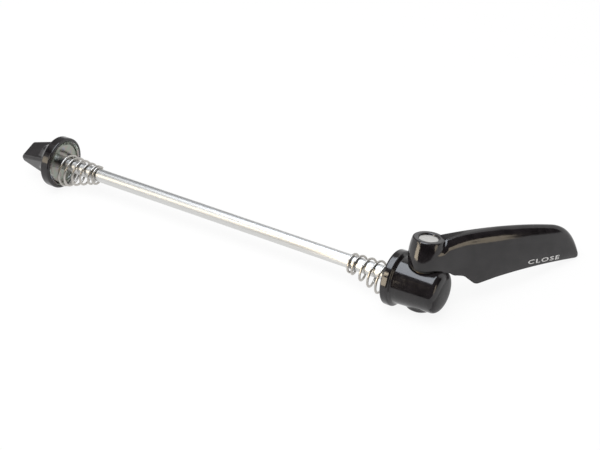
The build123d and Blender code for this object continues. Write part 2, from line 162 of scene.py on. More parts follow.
class SkewerNutSizes(bpy.types.PropertyGroup):
    """Sizes of the nut"""

    flange: length("Flange radius", "Radius of the nut's flange", 9.9)
    flange_width: length("Flange width", "Width of the nut's flange", 3.9)
    reach: length("Reach", "From the grip face to the blade's end", 18.3)
    root_width: length("Root width", "Width of the blade at the flange", 11.4)
    tip_width: length("Tip width", "Width of the blade at its end", 8.5)
    root: length("Root thickness", "Thickness of the blade at the flange", 11.6)
    tip: length("Tip thickness", "Thickness of the blade at its end", 3.0)
    neck: length("Neck radius", "Radius of the bell behind the flange", 5.6)
    turned: FloatProperty(
        name="Blade angle",
        description="How far the blade is turned from upright",
        default=radians(78.5),
        subtype="ANGLE",
    )


class SkewerSpringSizes(bpy.types.PropertyGroup):
    """Sizes of the two cone springs"""

    wire: length("Wire", "Diameter of the wire", 0.86)
    span: length("Length", "Free length of a spring", 16.5)
    wide: length("Wide radius", "Radius of the wide end's centre line", 6.0)
    narrow: length("Narrow radius", "Radius of the narrow end's centre line", 3.37)
    turns: IntProperty(name="Turns", description="Turns of wire in a spring", default=6, min=3)


class SkewerGripSizes(bpy.types.PropertyGroup):
    """Sizes of the two serrated faces"""

    radius: length("Radius", "Outer radius of a serrated face", 8.7)
    band: length("Band", "Width of the toothed band", 1.2)
    depth: length("Tooth depth", "Depth of the grooves between the teeth", 0.3)
    teeth: IntProperty(name="Teeth", description="Teeth round a face", default=60, min=12)


class SkewerColours(bpy.types.PropertyGroup):
    """Colours of the finishes"""

    alloy: tone("Black alloy", "Gloss black of the housing, lever and nut", (0.0075, 0.0062, 0.0068))
    alloy_worn: tone("Rubbed alloy", "Lighter tone where the black is rubbed", (0.0150, 0.0128, 0.0138))
    rod: tone("Rod", "Polished steel of the rod", (0.69, 0.69, 0.68))
    wire: tone("Spring wire", "Drawn steel of the springs", (0.50, 0.48, 0.45))
    grip: tone("Grip face", "Plated steel of the serrated faces", (0.30, 0.302, 0.295))
    cam: tone("Cam shaft", "Turned steel of the cam shaft", (0.66, 0.65, 0.63))
    bush: tone("Bushes", "Darkened brass of the cam bushes", (0.16, 0.11, 0.06))
    seal: tone("Seal", "Rubber of the cam seal", (0.010, 0.010, 0.011))
    lock: tone("Lock ring", "Nylon of the nut's lock ring", (0.58, 0.60, 0.57))
    word: tone("Word", "Paint of the word on the lever", (0.52, 0.51, 0.50))
    table: tone("Table", "Pale floor under the skewer", (0.86, 0.86, 0.86))


# Lines in a plane


def arc_through(first, middle, last, steps):
    """Points on the circle through three points."""
    (ax, ay), (bx, by), (cx, cy) = first, middle, last
    double = 2 * (ax * (by - cy) + bx * (cy - ay) + cx * (ay - by))
    a2, b2, c2 = ax * ax + ay * ay, bx * bx + by * by, cx * cx + cy * cy
    x = (a2 * (by - cy) + b2 * (cy - ay) + c2 * (ay - by)) / double
    y = (a2 * (cx - bx) + b2 * (ax - cx) + c2 * (bx - ax)) / double
    radius = hypot(ax - x, ay - y)
    start = atan2(ay - y, ax - x)
    turn = atan2(cy - y, cx - x) - start
    half = atan2(by - y, bx - x) - start
    if (half % (2 * pi)) < (turn % (2 * pi)):
        turn = turn % (2 * pi)
    else:
        turn = turn % (2 * pi) - 2 * pi
    angles = [start + turn * step / steps for step in range(steps + 1)]
    return [(x + radius * cos(angle), y + radius * sin(angle)) for angle in angles]


def arc_from(points, last, steps):
    """Points on the arc that leaves the end of a line of points smoothly and ends at last."""
    (px, py), (ax, ay) = points[-2], points[-1]
    heading = atan2(ay - py, ax - px)
    chord = atan2(last[1] - ay, last[0] - ax)
    reach = hypot(last[0] - ax, last[1] - ay)
    bend = chord - heading
    radius = reach / (2 * sin(bend))
    x = ax - radius * sin(heading)
    y = ay + radius * cos(heading)
    line = []
    for step in range(1, steps + 1):
        angle = heading + 2 * bend * step / steps
        line.append((x + radius * sin(angle), y - radius * cos(angle)))
    return line


def rounded(corners, steps=8):
    """Points along corners given as (x, y, rounding)."""
    line = []
    for index, (x, y, rounding) in enumerate(corners):
        if rounding == 0 or index in (0, len(corners) - 1):
            line.append((x, y))
            continue
        here = Vector((x, y))
        back = (Vector(corners[index - 1][:2]) - here).normalized()
        ahead = (Vector(corners[index + 1][:2]) - here).normalized()
        half = acos(max(-1.0, min(1.0, back.dot(ahead)))) / 2
        middle = (back + ahead).normalized()
        centre = here + middle * (rounding / sin(half))
        start = here + back * (rounding / tan(half)) - centre
        end = here + ahead * (rounding / tan(half)) - centre
        sweep = start.angle_signed(end)
        for step in range(steps + 1):
            angle = -sweep * step / steps
            turned = Matrix.Rotation(angle, 2) @ start
            line.append(tuple(centre + turned))
    return line


def height_at(line, along):
    """Height of a line of points at a place along it."""
    places = [point[0] for point in line]
    index = min(max(bisect_right(places, along), 1), len(line) - 1)
    (ax, ay), (bx, by) = line[index - 1], line[index]
    share = 0.0 if bx == ax else min(max((along - ax) / (bx - ax), 0.0), 1.0)
    return ay + (by - ay) * share


def eased(along, start, end, first, last):
    """A value that goes from first to last between two places, with soft ends."""
    share = min(max((along - start) / (end - start), 0.0), 1.0)
    return first + (last - first) * share * share * (3 - 2 * share)


# Meshes: each is a list of points and a list of faces


CREASE = radians(38.0)
SKIN_GRAIN = 0.18
SKIN_SMOOTHING = 5


def lathe(profile, steps, ripple=None):
    """A shape turned about x from (along, radius) points, which a ripple may move along x."""
    rings = []
    for along, radius in profile:
        ring = []
        for step in range(steps):
            angle = 2 * pi * step / steps
            shift = ripple(along, radius, angle) if ripple else 0.0
            ring.append((along + shift, radius * cos(angle), radius * sin(angle)))
        rings.append(ring)
    return loft(rings)


def tube_lathe(profile, steps, ripple):
    """A ring turned about x from a closed line of (along, radius) points."""
    points, faces = lathe(profile, steps, ripple)
    faces = faces[:-2]
    last = (len(profile) - 1) * steps
    for step in range(steps):
        after = (step + 1) % steps
        faces.append((last + step, last + after, after, step))
    return points, faces


def loft(rings):
    """A closed skin over rings of points."""
    count = len(rings[0])
    points = [point for ring in rings for point in ring]
    faces = []
    for ring in range(len(rings) - 1):
        low, high = ring * count, (ring + 1) * count
        for step in range(count):
            after = (step + 1) % count
            faces.append((low + step, low + after, high + after, high + step))
    faces.append(tuple(reversed(range(count))))
    faces.append(tuple(range(len(points) - count, len(points))))
    return points, faces


def prism(outline, low, high):
    """An upright prism over a plan outline."""
    return loft([[(x, y, low) for x, y in outline], [(x, y, high) for x, y in outline]])


def placed(shape, matrix):
    """A shape moved by a matrix."""
    points, faces = shape
    return [tuple(matrix @ Vector(point)) for point in points], faces


def joined(*shapes):
    """Several shapes as one list of points and faces."""
    points = []
    faces = []
    for more_points, more_faces in shapes:
        start = len(points)
        points.extend(more_points)
        faces.extend(tuple(start + index for index in face) for face in more_faces)
    return points, faces


def mesh_of(name, shape):
    """A mesh from a list of points and a list of faces."""
    mesh = bpy.data.meshes.new(name)
    mesh.from_pydata(shape[0], [], shape[1])
    mesh.validate()
    mesh.update()
    return mesh


def linked(name, data):
    """A new object in the scene."""
    obj = bpy.data.objects.new(name, data)
    bpy.context.scene.collection.objects.link(obj)
    return obj


def applied(obj):
    """The mesh of an object with its modifiers applied; the object is removed."""
    bpy.context.view_layer.update()
    graph = bpy.context.evaluated_depsgraph_get()
    mesh = bpy.data.meshes.new_from_object(obj.evaluated_get(graph), depsgraph=graph)
    bpy.data.objects.remove(obj)
    return mesh


def one_skin(name, shapes):
    """Overlapping closed shapes run into one skin with soft inside corners."""
    obj = linked(name, mesh_of(name, joined(*shapes)))
    remesh = obj.modifiers.new("one skin", "REMESH")
    remesh.mode = "VOXEL"
    remesh.voxel_size = SKIN_GRAIN
    remesh.use_smooth_shade = True
    smooth = obj.modifiers.new("soft corners", "SMOOTH")
    smooth.iterations = SKIN_SMOOTHING
    return applied(obj)


def make_piece(name, mesh, matrix, body, slot, *nodes):
    """Lays a mesh into the frame as a piece of a body, finished, in place of any nodes."""
    mesh.transform(matrix)
    mesh.name = name
    obj = linked(name, mesh)
    for face in mesh.polygons:
        face.use_smooth = True
    mesh.materials.clear()
    mesh.materials.append(finish(slot))
    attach(obj, body)
    if nodes:
        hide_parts(*nodes)
    return obj


def finish_node(node, name):
    """Gives a solid of the frame its finish."""
    obj = frame["nodes"][node]
    obj.data.materials.clear()
    obj.data.materials.append(finish(name))


# Finishes: a grain's scale is in grains per metre, a relief's depth in millimetres


FINISH_NAME = "skewer_"
TONE_RANGE = (0.35, 0.65)
VALUE_RANGE = (0.3, 0.7)
EVEN = (1.0, 1.0, 1.0)
ALONG_ROD = (0.004, 1.0, 1.0)
ROUND_FACE = (3.0, 1.0, 1.0)
DULL_SHARE = 0.86
PALE_GAIN = 1.35
PALE_LIFT = 0.004
MOULDED_SPREAD = 0.08
FILM_TINTS = (
    (0.30, (1.0, 1.0, 1.0)),
    (0.44, (0.92, 1.02, 0.88)),
    (0.55, (1.08, 0.94, 0.90)),
    (0.68, (0.88, 0.96, 1.10)),
)


def new_finish(name):
    """An empty node finish and its shader."""
    material = bpy.data.materials.new(FINISH_NAME + name)
    material.use_nodes = True
    nodes = material.node_tree.nodes
    return material, nodes, material.node_tree.links, nodes["Principled BSDF"]


def grain_of(nodes, links, scale, stretch=EVEN, detail=3.0):
    """Noise over the piece, drawn out by a stretch."""
    place = nodes.new("ShaderNodeTexCoord")
    mapping = nodes.new("ShaderNodeMapping")
    mapping.inputs["Scale"].default_value = stretch
    noise = nodes.new("ShaderNodeTexNoise")
    noise.inputs["Scale"].default_value = scale
    noise.inputs["Detail"].default_value = detail
    links.new(place.outputs["Object"], mapping.inputs["Vector"])
    links.new(mapping.outputs["Vector"], noise.inputs["Vector"])
    return noise


def two_tones(nodes, links, noise, first, last):
    """Colours a noise from one tone to another."""
    ramp = nodes.new("ShaderNodeValToRGB")
    for element, place, colour in zip(ramp.color_ramp.elements, TONE_RANGE, (first, last)):
        element.position = place
        element.color = (*colour, 1.0)
    links.new(noise.outputs["Fac"], ramp.inputs["Fac"])
    return ramp


def varied(nodes, links, noise, low, high):
    """Turns a noise into a value between low and high."""
    spread = nodes.new("ShaderNodeMapRange")
    spread.inputs["From Min"].default_value = VALUE_RANGE[0]
    spread.inputs["From Max"].default_value = VALUE_RANGE[1]
    spread.inputs["To Min"].default_value = low
    spread.inputs["To Max"].default_value = high
    links.new(noise.outputs["Fac"], spread.inputs["Value"])
    return spread


def bumped(nodes, links, shader, noise, depth, strength):
    """Fine relief from a noise."""
    bump = nodes.new("ShaderNodeBump")
    bump.inputs["Distance"].default_value = depth * MM
    bump.inputs["Strength"].default_value = strength
    links.new(noise.outputs["Fac"], bump.inputs["Height"])
    links.new(bump.outputs["Normal"], shader.inputs["Normal"])


def black_alloy(colours):
    """Gloss black over alloy, faintly rubbed and with a fine skin."""
    material, nodes, links, shader = new_finish("black_alloy")
    cloud = grain_of(nodes, links, scale=260.0)
    ramp = two_tones(nodes, links, cloud, colours.alloy, colours.alloy_worn)
    links.new(ramp.outputs["Color"], shader.inputs["Base Color"])
    smear = grain_of(nodes, links, scale=900.0, detail=5.0)
    gloss = varied(nodes, links, smear, low=0.10, high=0.17)
    links.new(gloss.outputs["Result"], shader.inputs["Roughness"])
    skin = grain_of(nodes, links, scale=5200.0, detail=2.0)
    bumped(nodes, links, shader, skin, depth=0.004, strength=0.06)
    return material


def drawn_steel(name, colour, low, high, stretch=EVEN, scale=1500.0, depth=0.002):
    """Bright metal with fine marks, its roughness between low and high."""
    material, nodes, links, shader = new_finish(name)
    shader.inputs["Metallic"].default_value = 1.0
    marks = grain_of(nodes, links, scale, stretch, detail=4.0)
    dull = tuple(DULL_SHARE * part for part in colour)
    ramp = two_tones(nodes, links, marks, dull, tuple(colour))
    links.new(ramp.outputs["Color"], shader.inputs["Base Color"])
    gloss = varied(nodes, links, marks, low, high)
    links.new(gloss.outputs["Result"], shader.inputs["Roughness"])
    bumped(nodes, links, shader, marks, depth, strength=0.1)
    return material


def plated_steel(colours):
    """Plated steel whose thin film shows faint green, rose and blue tints."""
    material, nodes, links, shader = new_finish("grip_steel")
    shader.inputs["Metallic"].default_value = 1.0
    film = grain_of(nodes, links, scale=330.0, detail=2.0)
    ramp = nodes.new("ShaderNodeValToRGB")
    base = Vector(colours.grip)
    while len(ramp.color_ramp.elements) < len(FILM_TINTS):
        ramp.color_ramp.elements.new(0.5)
    for element, (place, tint) in zip(ramp.color_ramp.elements, FILM_TINTS):
        element.position = place
        element.color = (*(min(1.0, part * share) for part, share in zip(base, tint)), 1.0)
    links.new(film.outputs["Fac"], ramp.inputs["Fac"])
    links.new(ramp.outputs["Color"], shader.inputs["Base Color"])
    marks = grain_of(nodes, links, scale=2600.0, stretch=ROUND_FACE)
    gloss = varied(nodes, links, marks, low=0.16, high=0.27)
    links.new(gloss.outputs["Result"], shader.inputs["Roughness"])
    bumped(nodes, links, shader, marks, depth=0.002, strength=0.3)
    return material


def moulded(name, colour, roughness, scale=2200.0):
    """Moulded rubber, nylon or paint with a fine skin."""
    material, nodes, links, shader = new_finish(name)
    cloud = grain_of(nodes, links, scale)
    pale = tuple(min(1.0, part * PALE_GAIN + PALE_LIFT) for part in colour)
    ramp = two_tones(nodes, links, cloud, tuple(colour), pale)
    links.new(ramp.outputs["Color"], shader.inputs["Base Color"])
    gloss = varied(nodes, links, cloud, roughness - MOULDED_SPREAD, roughness + MOULDED_SPREAD)
    links.new(gloss.outputs["Result"], shader.inputs["Roughness"])
    bumped(nodes, links, shader, cloud, depth=0.01, strength=0.3)
    return material


def finish(name):
    """A finish by name, made once."""
    if FINISH_NAME + name in bpy.data.materials:
        return bpy.data.materials[FINISH_NAME + name]
    colours = bpy.context.scene.skewer_colours
    makers = {
        "black_alloy": lambda: black_alloy(colours),
        "rod_steel": lambda: drawn_steel(name, colours.rod, 0.32, 0.40, ALONG_ROD, depth=0.001),
        "spring_steel": lambda: drawn_steel(name, colours.wire, 0.24, 0.36),
        "grip_steel": lambda: plated_steel(colours),
        "cam_steel": lambda: drawn_steel(name, colours.cam, 0.26, 0.36, scale=2400.0),
        "bush_brass": lambda: drawn_steel(name, colours.bush, 0.24, 0.36),
        "seal_rubber": lambda: moulded(name, colours.seal, roughness=0.62),
        "lock_nylon": lambda: moulded(name, colours.lock, roughness=0.42),
        "word_paint": lambda: moulded(name, colours.word, roughness=0.5, scale=5200.0),
    }
    return makers[name]()


# Operators


class SKEWER_OT_stage(bpy.types.Operator):
    """Lay the table, the light and the camera"""

    bl_idname = "skewer.stage"
    bl_label = "Stage"

    def execute(self, context):
        lay_table(context.scene.skewer_colours)
        light_room()
        hang_lamp()
        for name, corners, colour, strength in CARDS:
            card(name, corners, colour, strength)
        set_camera()
        context.scene.view_settings.view_transform = "Standard"
        return {"FINISHED"}


class SKEWER_OT_rod(bpy.types.Operator):
    """Finish the steel rod"""

    bl_idname = "skewer.rod"
    bl_label = "Rod"

    def execute(self, context):
        finish_node("skewer_rod", "rod_steel")
        return {"FINISHED"}


class SKEWER_OT_housing(bpy.types.Operator):
    """Make the cam housing and its end cap"""

    bl_idname = "skewer.housing"
    bl_label = "Housing"

    def execute(self, context):
        mesh = housing_skin(context.scene.skewer_housing, context.scene.skewer_grip)
        make_piece("housing_shell", mesh, housing_axes(), "housing", "black_alloy", "cam_housing")
        finish_node("cam_end_cap", "black_alloy")
        return {"FINISHED"}


class SKEWER_OT_lever(bpy.types.Operator):
    """Make the cam lever"""

    bl_idname = "skewer.lever"
    bl_label = "Lever"

    def execute(self, context):
        mesh = lever_skin(context.scene.skewer_lever)
        make_piece("lever_shell", mesh, lever_axes(), "lever", "black_alloy", "lever")
        return {"FINISHED"}


class SKEWER_OT_word(bpy.types.Operator):
    """Paint the word on the lever"""

    bl_idname = "skewer.word"
    bl_label = "Word on the lever"

    def execute(self, context):
        mesh = word_mesh(context.scene.skewer_lever)
        make_piece("lever_word", mesh, lever_axes(), "lever", "word_paint")
        return {"FINISHED"}


class SKEWER_OT_nut(bpy.types.Operator):
    """Make the nut and finish its lock ring"""

    bl_idname = "skewer.nut"
    bl_label = "Nut"

    def execute(self, context):
        sizes = context.scene.skewer_nut
        mesh = nut_skin(sizes, context.scene.skewer_grip)
        make_piece("nut_shell", mesh, nut_axes(sizes.turned), "nut", "black_alloy", "nut_body")
        finish_node("nut_lock_ring", "lock_nylon")
        return {"FINISHED"}


class SKEWER_OT_springs(bpy.types.Operator):
    """Wind the two cone springs"""

    bl_idname = "skewer.springs"
    bl_label = "Springs"

    def execute(self, context):
        sizes = context.scene.skewer_springs
        wind_spring("lever_spring_wire", sizes, 0.0, -1, LEVER_COIL_START, "housing", "lever_side_spring")
        face = NUT_FACE / MM
        wind_spring("nut_spring_wire", sizes, face, 1, NUT_COIL_START, "nut_carrier", "nut_side_spring")
        return {"FINISHED"}


class SKEWER_OT_grips(bpy.types.Operator):
    """Make the two serrated steel faces"""

    bl_idname = "skewer.grips"
    bl_label = "Grip faces"

    def execute(self, context):
        ring = grip_profile(context.scene.skewer_grip, False)
        cut_grip("housing_grip_face", ring, 0.0, 1, "housing", "housing_grip_ring")
        insert = grip_profile(context.scene.skewer_grip, True)
        cut_grip("nut_grip_face", insert, NUT_FACE, -1, "nut", "nut_grip_insert")
        return {"FINISHED"}


class SKEWER_OT_cam(bpy.types.Operator):
    """Finish the cam shaft, its bushes, clip and seal"""

    bl_idname = "skewer.cam"
    bl_label = "Cam parts"

    def execute(self, context):
        finish_node("cam_shaft", "cam_steel")
        finish_node("cam_retaining_clip", "spring_steel")
        finish_node("upper_cam_bush", "bush_brass")
        finish_node("lower_cam_bush", "bush_brass")
        finish_node("cam_seal", "seal_rubber")
        return {"FINISHED"}


# Stage, in metres


CAMERA_PLACE = (0.20716, -0.337811, 0.348332)
CAMERA_RIGHT = (0.84441, 0.52978, -0.07936)
CAMERA_UP = (-0.28461, 0.56919, 0.77137)
CAMERA_LENS = 92.3
CAMERA_NEAREST = 0.01
TABLE_HALF = 6.0
SHADOW_SHARE = 0.11
ROOM_STRENGTH = 0.55
LAMP_WIDTH = 0.9
LAMP_DEPTH = 0.7
LAMP_POWER = 9.0
LAMP_PLACE = (-0.10, -0.25, 0.95)
LAMP_TARGET = (-0.06, 0.0, 0.0)
STAGE_CENTRE = (0.0, 0.0, 0.005)
FLOOR = TABLE + 0.0004
FRONT = -0.9
SIDE = 1.1
SIDE_LAMPS = 0.8
WALL_TOP = 1.1
CEILING = 1.0
BOX_HEIGHT = 0.62
BLACK = (0.0, 0.0, 0.0)
WHITE = (1.0, 1.0, 1.0)
COOL = (0.87, 0.92, 1.0)
CREAM = (1.0, 0.99, 0.94)
WARM = (1.0, 0.86, 0.66)


def facing(direction, distance, width, height):
    """Corners of an upright rectangle that faces the skewer from a direction."""
    toward = Vector(direction).normalized()
    place = Vector(STAGE_CENTRE) + toward * distance
    right = toward.cross(Vector((0, 0, 1))).normalized()
    up = right.cross(toward)
    corners = []
    for across, rise in ((-1, -1), (1, -1), (1, 1), (-1, 1)):
        corners.append(tuple(place + right * (across * width / 2) + up * (rise * height / 2)))
    return corners


def wall(first, last, low, high):
    """Corners of an upright rectangle between two places in plan."""
    return [(*first, low), (*last, low), (*last, high), (*first, high)]


def strip(x_span, first, last):
    """Corners of a rectangle over a span of x, from one (y, z) edge to another."""
    (left, right), (y0, z0), (y1, z1) = x_span, first, last
    return [(left, y0, z0), (right, y0, z0), (right, y1, z1), (left, y1, z1)]


def laid(*corners):
    """Corners in plan, just over the table."""
    return [(x, y, FLOOR) for x, y in corners]


def side_on(*corners):
    """Corners given as (y, z) in the plane of the lamps beyond the lever."""
    return [(SIDE_LAMPS, y, z) for y, z in corners]


def card(name, corners, colour, strength):
    """A flat card that only polished metal sees."""
    mesh = mesh_of(name, (corners, [(0, 1, 2, 3)]))
    material = bpy.data.materials.new(name)
    material.use_nodes = True
    nodes = material.node_tree.nodes
    nodes.clear()
    glow = nodes.new("ShaderNodeEmission")
    glow.inputs["Color"].default_value = (*colour, 1.0)
    glow.inputs["Strength"].default_value = strength
    out = nodes.new("ShaderNodeOutputMaterial")
    material.node_tree.links.new(glow.outputs["Emission"], out.inputs["Surface"])
    mesh.materials.append(material)
    obj = linked(name, mesh)
    obj.visible_camera = False
    obj.visible_diffuse = False
    obj.visible_transmission = False
    obj.visible_shadow = False


# Cards that the gloss shows: name, corners, colour and strength
CARDS = (
    ("dark_front", wall((-0.66, FRONT), (1.4, FRONT), FLOOR, WALL_TOP), BLACK, 0.0),
    ("dark_side", wall((SIDE, FRONT), (SIDE, 0.9), FLOOR, WALL_TOP), BLACK, 0.0),
    ("dark_ceiling", strip((-1.2, 1.2), (FRONT, CEILING), (0.75, CEILING)), BLACK, 0.0),
    ("dark_table", laid((-0.40, FRONT), (SIDE, FRONT), (SIDE, -0.10), (-0.05, -0.10)), BLACK, 0.0),
    ("grey_back", wall((-2.4, 0.7), (-0.33, 0.7), FLOOR, 0.98), WHITE, 0.30),
    ("grey_roof", strip((-0.9, -0.33), (0.22, BOX_HEIGHT), (0.70, BOX_HEIGHT)), WHITE, 0.25),
    ("soft_box", strip((-0.312, 0.05), (-0.22, BOX_HEIGHT), (0.42, BOX_HEIGHT)), COOL, 6.8),
    ("upper_panel", strip((-0.56, -0.32), (0.20, 0.54), (-0.12, 0.60)), WHITE, 1.15),
    ("panel_seam", strip((-0.56, -0.31), (-0.12, 0.60), (-0.25, 0.58)), WHITE, 0.05),
    ("lower_panel", strip((-0.56, -0.30), (-0.25, 0.58), (-0.584, 0.224)), CREAM, 1.5),
    ("front_panel", wall((-0.58, -0.60), (-0.31, -0.60), FLOOR, 0.224), WHITE, 0.95),
    # dome_shade is a dim sheet laid on the table beside the housing's end, in place of the skewer's
    # shadow there: a painted shadow that only the gloss of the dome shows
    ("dome_shade", strip((0.018, 0.036), (-0.010, FLOOR), (0.060, FLOOR)), WHITE, 0.5),
    ("hub_card", wall((-0.036, -0.0445), (-0.016, -0.0595), 0.0005, 0.035), WARM, 8.0),
    ("flange_lamp", facing((-0.42, -0.65, 0.63), 0.7, 0.07, 0.16), WARM, 16.0),
    ("nut_lamp", facing((-0.711, -0.599, 0.371), 0.795, 0.18, 0.24), WARM, 5.0),
    ("blade_lamp", side_on((-0.25, FLOOR), (0.04, FLOOR), (0.02, 0.115), (-0.25, 0.115)), WARM, 3.4),
    ("hook_lamp", side_on((-0.08, 0.115), (0.08, 0.115), (0.08, 0.34), (-0.08, 0.32)), WARM, 3.6),
)


def seen_directly(nodes, links, share):
    """1 for what the camera, polished metal or glass sees, scaled by a share."""
    path = nodes.new("ShaderNodeLightPath")
    seen = path.outputs["Is Camera Ray"]
    for ray in ("Is Glossy Ray", "Is Transmission Ray"):
        either = nodes.new("ShaderNodeMath")
        either.operation = "MAXIMUM"
        links.new(seen, either.inputs[0])
        links.new(path.outputs[ray], either.inputs[1])
        seen = either.outputs["Value"]
    part = nodes.new("ShaderNodeMath")
    part.operation = "MULTIPLY"
    part.inputs[1].default_value = share
    links.new(seen, part.inputs[0])
    return part


def lay_table(colours):
    """A pale floor that fades to the white of the background."""
    corners = strip((-TABLE_HALF, TABLE_HALF), (-TABLE_HALF, TABLE), (TABLE_HALF, TABLE))
    mesh = mesh_of("table", (corners, [(0, 1, 2, 3)]))
    material = bpy.data.materials.new("table_paper")
    material.use_nodes = True
    nodes, links = material.node_tree.nodes, material.node_tree.links
    nodes.clear()
    paper = nodes.new("ShaderNodeBsdfDiffuse")
    paper.inputs["Color"].default_value = (*colours.table, 1.0)
    glow = nodes.new("ShaderNodeEmission")
    mix = nodes.new("ShaderNodeMixShader")
    out = nodes.new("ShaderNodeOutputMaterial")
    seen = seen_directly(nodes, links, 1.0 - SHADOW_SHARE)
    links.new(seen.outputs["Value"], mix.inputs["Fac"])
    links.new(paper.outputs["BSDF"], mix.inputs[1])
    links.new(glow.outputs["Emission"], mix.inputs[2])
    links.new(mix.outputs["Shader"], out.inputs["Surface"])
    mesh.materials.append(material)
    obj = linked("table", mesh)


def light_room():
    """A room that is white to the camera and lights the skewer more softly."""
    world = bpy.data.worlds.new("white room")
    bpy.context.scene.world = world
    world.use_nodes = True
    nodes, links = world.node_tree.nodes, world.node_tree.links
    nodes.clear()
    room = nodes.new("ShaderNodeBackground")
    room.inputs["Color"].default_value = (*WHITE, 1.0)
    room.inputs["Strength"].default_value = ROOM_STRENGTH
    backdrop = nodes.new("ShaderNodeBackground")
    backdrop.inputs["Color"].default_value = (*WHITE, 1.0)
    mix = nodes.new("ShaderNodeMixShader")
    out = nodes.new("ShaderNodeOutputWorld")
    seen = seen_directly(nodes, links, 1.0)
    links.new(seen.outputs["Value"], mix.inputs["Fac"])
    links.new(room.outputs["Background"], mix.inputs[1])
    links.new(backdrop.outputs["Background"], mix.inputs[2])
    links.new(mix.outputs["Shader"], out.inputs["Surface"])


def hang_lamp():
    """A soft lamp overhead, which the gloss doesn't show."""
    lamp = bpy.data.lights.new("soft lamp", "AREA")
    lamp.shape = "RECTANGLE"
    lamp.size = LAMP_WIDTH
    lamp.size_y = LAMP_DEPTH
    lamp.energy = LAMP_POWER
    obj = linked("soft lamp", lamp)
    obj.location = LAMP_PLACE
    obj.rotation_euler = (Vector(LAMP_TARGET) - obj.location).to_track_quat("-Z", "Y").to_euler()
    obj.visible_glossy = False
    obj.visible_camera = False


def set_camera():
    """The camera of the photograph."""
    camera = bpy.data.cameras.new("camera")
    camera.lens = CAMERA_LENS
    camera.clip_start = CAMERA_NEAREST
    obj = linked("camera", camera)
    right = Vector(CAMERA_RIGHT).normalized()
    up = Vector(CAMERA_UP)
    up = (up - right * up.dot(right)).normalized()
    turn = Matrix((right, up, right.cross(up))).transposed().to_4x4()
    obj.matrix_world = Matrix.Translation(Vector(CAMERA_PLACE)) @ turn
    bpy.context.scene.camera = obj


# Housing


ROUND_STEPS = 192
POCKET_PLAY = 0.02
POCKET_DEPTH = 1.85
FACE_BACK = 0.25
RIM_ROUND = 0.5
NECK_RUN = 0.6
NECK_ROUND = 0.3
NECK_END = 0.9
NECK_DRAW = 0.2
NECK_OVERLAP = 0.02
CUP_STEPS = 40
CUP_LENGTHENING = 0.9
CUP_FULLNESS = 0.62
PIVOT_X = SWING["pos_m"][0] / MM
BOSS_DOWN = Matrix(((0, 0, 1, PIVOT_X), (0, 1, 0, 0), (-1, 0, 0, 0), (0, 0, 0, 1)))
CAP_BOSS = ((6.0, 0.0), (6.0, 5.2), (7.75, 4.6), (8.3, 3.7), (8.35, 0.0))
CAP_BOSS_STEPS = 96


def pocket_corners(grip, flange):
    """Corners of a flange's face, with the pocket that a serrated face sits in."""
    pocket = grip.radius / MM + POCKET_PLAY
    return [
        (POCKET_DEPTH, 0.0, 0.0),
        (POCKET_DEPTH, pocket, 0.0),
        (FACE_BACK, pocket, 0.0),
        (FACE_BACK, flange, RIM_ROUND),
    ]


def housing_skin(sizes, grip):
    """Flange and cup, with the flat seat cut and the pocket of the grip face turned out."""
    flange, width = sizes.flange / MM, sizes.flange_width / MM
    neck, end = sizes.neck / MM, sizes.end / MM
    last, rounding, seat = sizes.end_radius / MM, sizes.end_round / MM, sizes.seat / MM
    disc = rounded(
        pocket_corners(grip, flange)
        + [
            (width, flange, RIM_ROUND),
            (width + NECK_RUN, neck, NECK_ROUND),
            (width + NECK_END, neck - NECK_DRAW, 0.0),
            (width + NECK_END, 0.0, 0.0),
        ]
    )
    body = [(width - NECK_RUN, 0.0), (width - NECK_RUN, neck + NECK_OVERLAP), (end - rounding, last)]
    for step in range(1, CUP_STEPS + 1):
        turn = pi / 2 * step / CUP_STEPS
        along = end - rounding + rounding * sin(turn) ** CUP_LENGTHENING
        body.append((along, last * cos(turn) ** CUP_FULLNESS))
    cup = cut_flat(lathe(body, ROUND_STEPS), seat, width)
    boss = placed(lathe(CAP_BOSS, CAP_BOSS_STEPS), BOSS_DOWN)
    return one_skin("housing", [lathe(disc, ROUND_STEPS), cup, boss])


def cut_flat(shape, height, start):
    """A shape with everything above a height pressed down to it, beyond a place along x."""
    points, faces = shape
    cut = [(x, y, min(z, height)) if x > start else (x, y, z) for x, y, z in points]
    return cut, faces


# Lever: places are from the pivot along the blade, heights are over the rod's axis


# The blade's lines, with the heel as (place, drop under the hub's foot, rounding)
BLADE_START = 2.5
LINE_STEPS = 120
HALF_SWEEP = 0.1
CREST_START = 0.2
CREST_AT = 0.46
SHOULDER_AT = 0.78
SHOULDER_DROP = 1.5
TIP_TOP = 6.2
TIP_STEPS = 80
TIP_FOOT = 5.8
TIP_ROUND = 1.5
TIP_LEAST = 0.25
RUN_START = (17.8, 1.55)
RUN_MIDDLE = (36.0, 5.1)
RUN_STEPS = 90
RUN_JOIN = 16
HEEL = ((0.0, 0.1, 0.0), (6.8, 0.15, 1.0), (9.1, 2.2, 1.2))
HEEL_SLOPE = (12.9, 4.95, 3.4)
HEEL_TOE = (17.8, 1.35, 2.6)

# Where the blade leaves the hub, and how its section is rounded
FLOW_START = 0.4
FLOW_END = 15.0
RIM_SPAN = (3.5, 5.0)
RIM_DROP = 1.0
LIP_IN = (2.6, 5.4)
LIP_OUT = (6.6, 10.0)
LIP_DROP = 0.85
CROWN_SPAN = (8.0, 22.0)
CROWN_HEIGHT = 10
ROLL_SPAN = (3.0, 26.0)
ROLL_TALL = (3.6, 5.6)
ROLL_DEEP = (2.6, 3.4)
ROLL_TALL_SHARE = 0.5
ROLL_DEEP_SHARE = 0.75
LOWER_ROUND = 0.5
BACK_ROUND = 0.9
ROUND_SHARE = 0.3
LEAST_HEIGHT = 0.02
CORNER_STEPS = 12
FACE_STEPS = 24
BLADE_RINGS = 160
RING_CROWDING = 1.5

